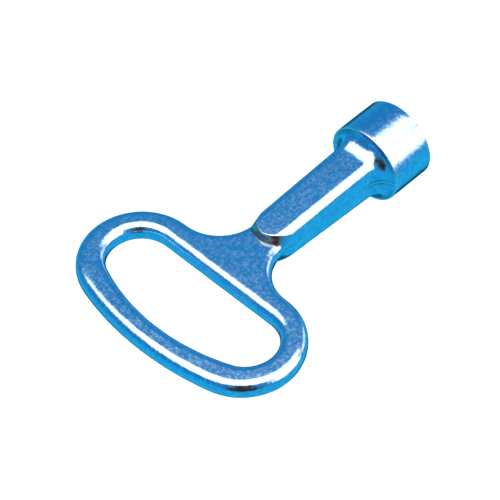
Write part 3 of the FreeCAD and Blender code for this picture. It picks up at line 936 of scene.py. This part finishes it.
# Dark patches in that light, which the key mirrors: direction, angular radius and colour. The
# core is the share of the radius that is fully dark.
WARM_DARK, COOL_DARK = (0.10, 0.035, 0.015, 1.0), (0.0, 0.06, 0.14, 1.0)
DARK_PATCHES = (
    ((-0.60, -0.60, 0.62), math.radians(20), WARM_DARK),
    ((-0.66, -0.68, 0.0), math.radians(31), WARM_DARK),
    ((0.469, 0.449, -0.76), math.radians(44), COOL_DARK),
)
PATCH_CORE = 0.6

# Where the camera stands about the key and how far off, its lens in millimetres and the shift of
# its view, the point that it faces and the nearest thing that it sees.
CAMERA_AZIMUTH, CAMERA_ELEVATION = math.radians(-46.2), math.radians(49.5)
CAMERA_DISTANCE, CAMERA_LENS, CAMERA_SHIFT = 0.417, 167.3, (-0.0518, -0.0315)
CAMERA_TARGET, CAMERA_NEAR = (-0.033, 0.0, 0.0), 0.01


def pale_floor(scene):
    """A flat square sheet just under the key, which the key doesn't mirror."""
    mesh = bpy.data.meshes.new("floor")
    reach = FLOOR_SIZE / 2
    x, y = np.meshgrid([-reach, reach], [-reach, reach])
    corners = np.stack([x.ravel(), y.ravel(), np.full(4, FLOOR_Z)], axis=1)
    mesh.from_pydata(corners.tolist(), [], [(0, 1, 3, 2)])
    mesh.materials.append(floor_material(scene.bleed_key_finish))
    floor = bpy.data.objects.new("floor", mesh)
    scene.collection.objects.link(floor)
    floor.visible_glossy = False
    return floor


def light_group(name, members):
    """A collection of the objects that a light is kept to."""
    group = bpy.data.collections.new(name)
    for member in members:
        group.objects.link(member)
    return group


def soft_light(name, place, target, width, depth, radiance, receivers):
    """An oblong area light that lights only the given collection.

    Its power is the radiance wanted times pi times its area.
    """
    light = bpy.data.lights.new(name, "AREA")
    light.shape, light.size, light.size_y, light.color = "RECTANGLE", width, depth, LAMP_COLOUR
    light.energy = radiance * math.pi * width * depth
    lamp = bpy.data.objects.new(name, light)
    aim = (Vector(target) - Vector(place)).to_track_quat("-Z", "Y").to_matrix().to_4x4()
    lamp.matrix_world = Matrix.Translation(place) @ aim
    lamp.visible_camera = False
    lamp.light_linking.receiver_collection = receivers
    bpy.context.scene.collection.objects.link(lamp)


def floor_wash(receivers):
    """An even light straight down on the floor alone, without shadows."""
    light = bpy.data.lights.new("floor wash", "SUN")
    light.energy, light.use_shadow = FLOOR_WASH, False
    lamp = bpy.data.objects.new("floor wash", light)
    lamp.light_linking.receiver_collection = receivers
    bpy.context.scene.collection.objects.link(lamp)


def studio_world():
    """A white backdrop to the eye, and on the key a cool fill with dark patches in it."""
    world = bpy.data.worlds.new("studio")
    world.use_nodes = True
    tree = world.node_tree
    way = add_node(tree, "ShaderNodeTexCoord").outputs["Generated"]
    up = add_node(tree, "ShaderNodeSeparateXYZ", Vector=way).outputs["Z"]
    fill = mix_colours(tree, between(tree, up, FILL_LOW, FILL_HIGH), FILL_BELOW, FILL_ABOVE)
    for middle, spread, shade in DARK_PATCHES:
        near = add_node(tree, "ShaderNodeVectorMath", {"operation": "DOT_PRODUCT"}, i0=way,
                        i1=Vector(middle).normalized())
        dark = between(tree, near.outputs["Value"], math.cos(spread), math.cos(PATCH_CORE * spread))
        fill = mix_colours(tree, dark, fill, shade)
    seen = add_node(tree, "ShaderNodeLightPath").outputs["Is Camera Ray"]
    tree.links.new(mix_colours(tree, seen, fill, BACKDROP), tree.nodes["Background"].inputs["Color"])
    return world


def add_camera(scene):
    """Looks down on the key from beyond its loop, to one side of it, through a long lens."""
    azimuth, elevation = CAMERA_AZIMUTH, CAMERA_ELEVATION
    back = Vector((math.sin(azimuth) * math.cos(elevation),
                   -math.cos(azimuth) * math.cos(elevation), math.sin(elevation)))
    right = Vector((math.cos(azimuth), math.sin(azimuth), 0.0))
    turned = Matrix((right, back.cross(right), back)).transposed().to_4x4()
    camera = bpy.data.objects.new("camera", bpy.data.cameras.new("camera"))
    place = Vector(CAMERA_TARGET) + back * CAMERA_DISTANCE
    camera.matrix_world = Matrix.Translation(place) @ turned
    camera.data.lens = CAMERA_LENS
    camera.data.shift_x, camera.data.shift_y = CAMERA_SHIFT
    camera.data.clip_start = CAMERA_NEAR
    scene.collection.objects.link(camera)
    scene.camera = camera


class BLEEDKEY_OT_stage(Operator):
    """Add the pale floor, the soft lights and the camera"""

    bl_idname = "bleedkey.stage"
    bl_label = "Floor, light and camera"

    def execute(self, context):
        scene = context.scene
        floor = pale_floor(scene)
        pieces = [bpy.data.objects[name] for name in ("casting", "square_insert")]
        key_only = light_group("lit by softboxes", pieces)
        for lamp in LAMPS:
            soft_light(*lamp, key_only)
        floor_wash(light_group("lit by floor wash", [floor]))
        scene.world = studio_world()
        scene.view_settings.view_transform = "Standard"
        add_camera(scene)
        return {"FINISHED"}


# ---------------------------------------------------------------- panel and registration

class BLEEDKEY_PT_panel(Panel):
    """Sizes, finishes and the steps that build the key"""

    bl_idname = "BLEEDKEY_PT_panel"
    bl_label = "Bleed key"
    bl_space_type = "VIEW_3D"
    bl_region_type = "UI"
    bl_category = "Bleed key"

    def draw(self, context):
        for operator in OPERATORS:
            self.layout.operator(operator.bl_idname)
        for group in (context.scene.bleed_key_sizes, context.scene.bleed_key_finish):
            column = self.layout.column()
            for name in group.bl_rna.properties.keys():
                if name not in ("rna_type", "name"):
                    column.prop(group, name)


OPERATORS = (BLEEDKEY_OT_casting, BLEEDKEY_OT_insert, BLEEDKEY_OT_stage)
CLASSES = (BleedKeySizes, BleedKeyFinish, *OPERATORS, BLEEDKEY_PT_panel)


def register():
    for cls in CLASSES:
        bpy.utils.register_class(cls)
    bpy.types.Scene.bleed_key_sizes = PointerProperty(type=BleedKeySizes)
    bpy.types.Scene.bleed_key_finish = PointerProperty(type=BleedKeyFinish)


def unregister():
    del bpy.types.Scene.bleed_key_finish
    del bpy.types.Scene.bleed_key_sizes
    for cls in reversed(CLASSES):
        bpy.utils.unregister_class(cls)


def main():
    register()
    bpy.ops.bleedkey.casting()
    bpy.ops.bleedkey.insert()
    bpy.ops.bleedkey.stage()


if __name__ == "__main__":
    main()
